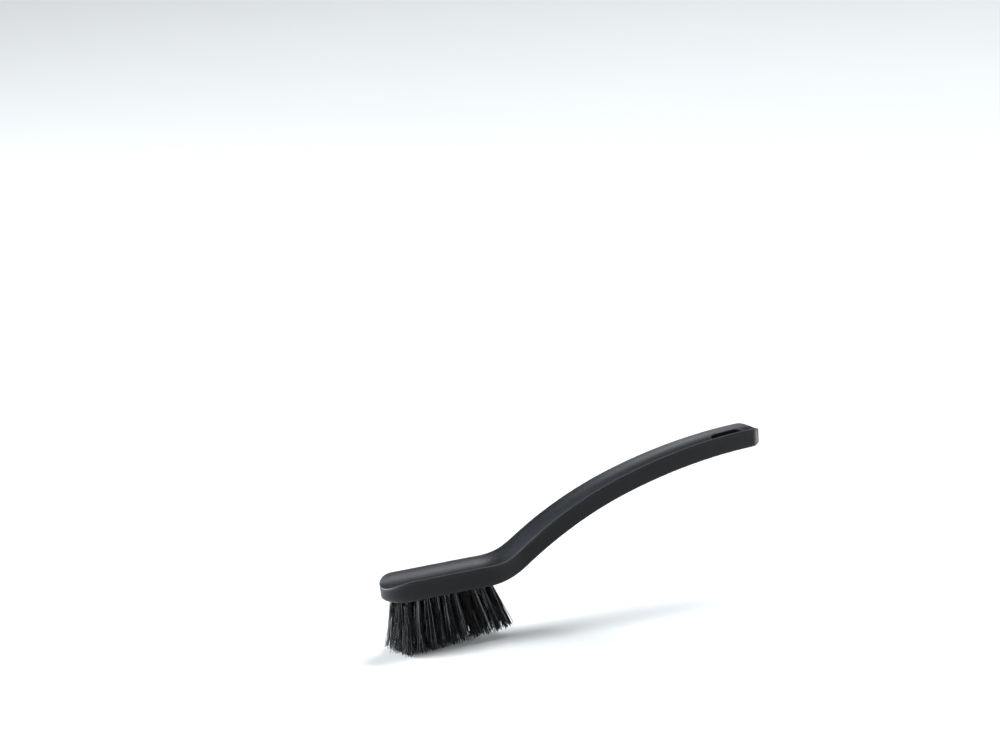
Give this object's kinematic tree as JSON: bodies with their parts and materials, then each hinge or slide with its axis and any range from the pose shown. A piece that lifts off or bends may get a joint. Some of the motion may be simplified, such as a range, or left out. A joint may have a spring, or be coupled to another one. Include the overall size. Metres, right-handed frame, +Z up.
{
  "type": "wheel brush",
  "caption": "Long-handled brush for washing wheels: a slim head that bends up into a channelled handle with a hanging slot, and three rows of black filament tufts.",
  "frame": {"origin": "under the middle of the brush, at the tips of the longest bristles", "axes": "+X from the tip of the head to the end of the handle, +Z up, away from the bristles"},
  "size_m": [0.32, 0.0278, 0.1154],
  "materials": {
    "moulded_plastic": "black polypropylene, fine satin grain on top, smoother on the walls",
    "filament": "black drawn polypropylene filament, glossy along its length",
    "anchor_metal": "zinc-plated flat wire"
  },
  "bodies": {
    "root": {"block_handle": "moulded_plastic", "tuft_near_01": "filament", "tuft_near_02": "filament", "tuft_near_03": "filament", "tuft_near_04": "filament", "tuft_near_05": "filament", "tuft_near_06": "filament", "tuft_near_07": "filament", "tuft_near_08": "filament", "tuft_near_09": "filament", "tuft_near_10": "filament", "tuft_centre_01": "filament", "tuft_centre_02": "filament", "tuft_centre_03": "filament", "tuft_centre_04": "filament", "tuft_centre_05": "filament", "tuft_centre_06": "filament", "tuft_centre_07": "filament", "tuft_centre_08": "filament", "tuft_centre_09": "filament", "tuft_far_01": "filament", "tuft_far_02": "filament", "tuft_far_03": "filament", "tuft_far_04": "filament", "tuft_far_05": "filament", "tuft_far_06": "filament", "tuft_far_07": "filament", "tuft_far_08": "filament", "tuft_far_09": "filament", "tuft_far_10": "filament", "anchor_near_01": "anchor_metal", "anchor_near_02": "anchor_metal", "anchor_near_03": "anchor_metal", "anchor_near_04": "anchor_metal", "anchor_near_05": "anchor_metal", "anchor_near_06": "anchor_metal", "anchor_near_07": "anchor_metal", "anchor_near_08": "anchor_metal", "anchor_near_09": "anchor_metal", "anchor_near_10": "anchor_metal", "anchor_centre_01": "anchor_metal", "anchor_centre_02": "anchor_metal", "anchor_centre_03": "anchor_metal", "anchor_centre_04": "anchor_metal", "anchor_centre_05": "anchor_metal", "anchor_centre_06": "anchor_metal", "anchor_centre_07": "anchor_metal", "anchor_centre_08": "anchor_metal", "anchor_centre_09": "anchor_metal", "anchor_far_01": "anchor_metal", "anchor_far_02": "anchor_metal", "anchor_far_03": "anchor_metal", "anchor_far_04": "anchor_metal", "anchor_far_05": "anchor_metal", "anchor_far_06": "anchor_metal", "anchor_far_07": "anchor_metal", "anchor_far_08": "anchor_metal", "anchor_far_09": "anchor_metal", "anchor_far_10": "anchor_metal"}
  },
  "joints": []
}
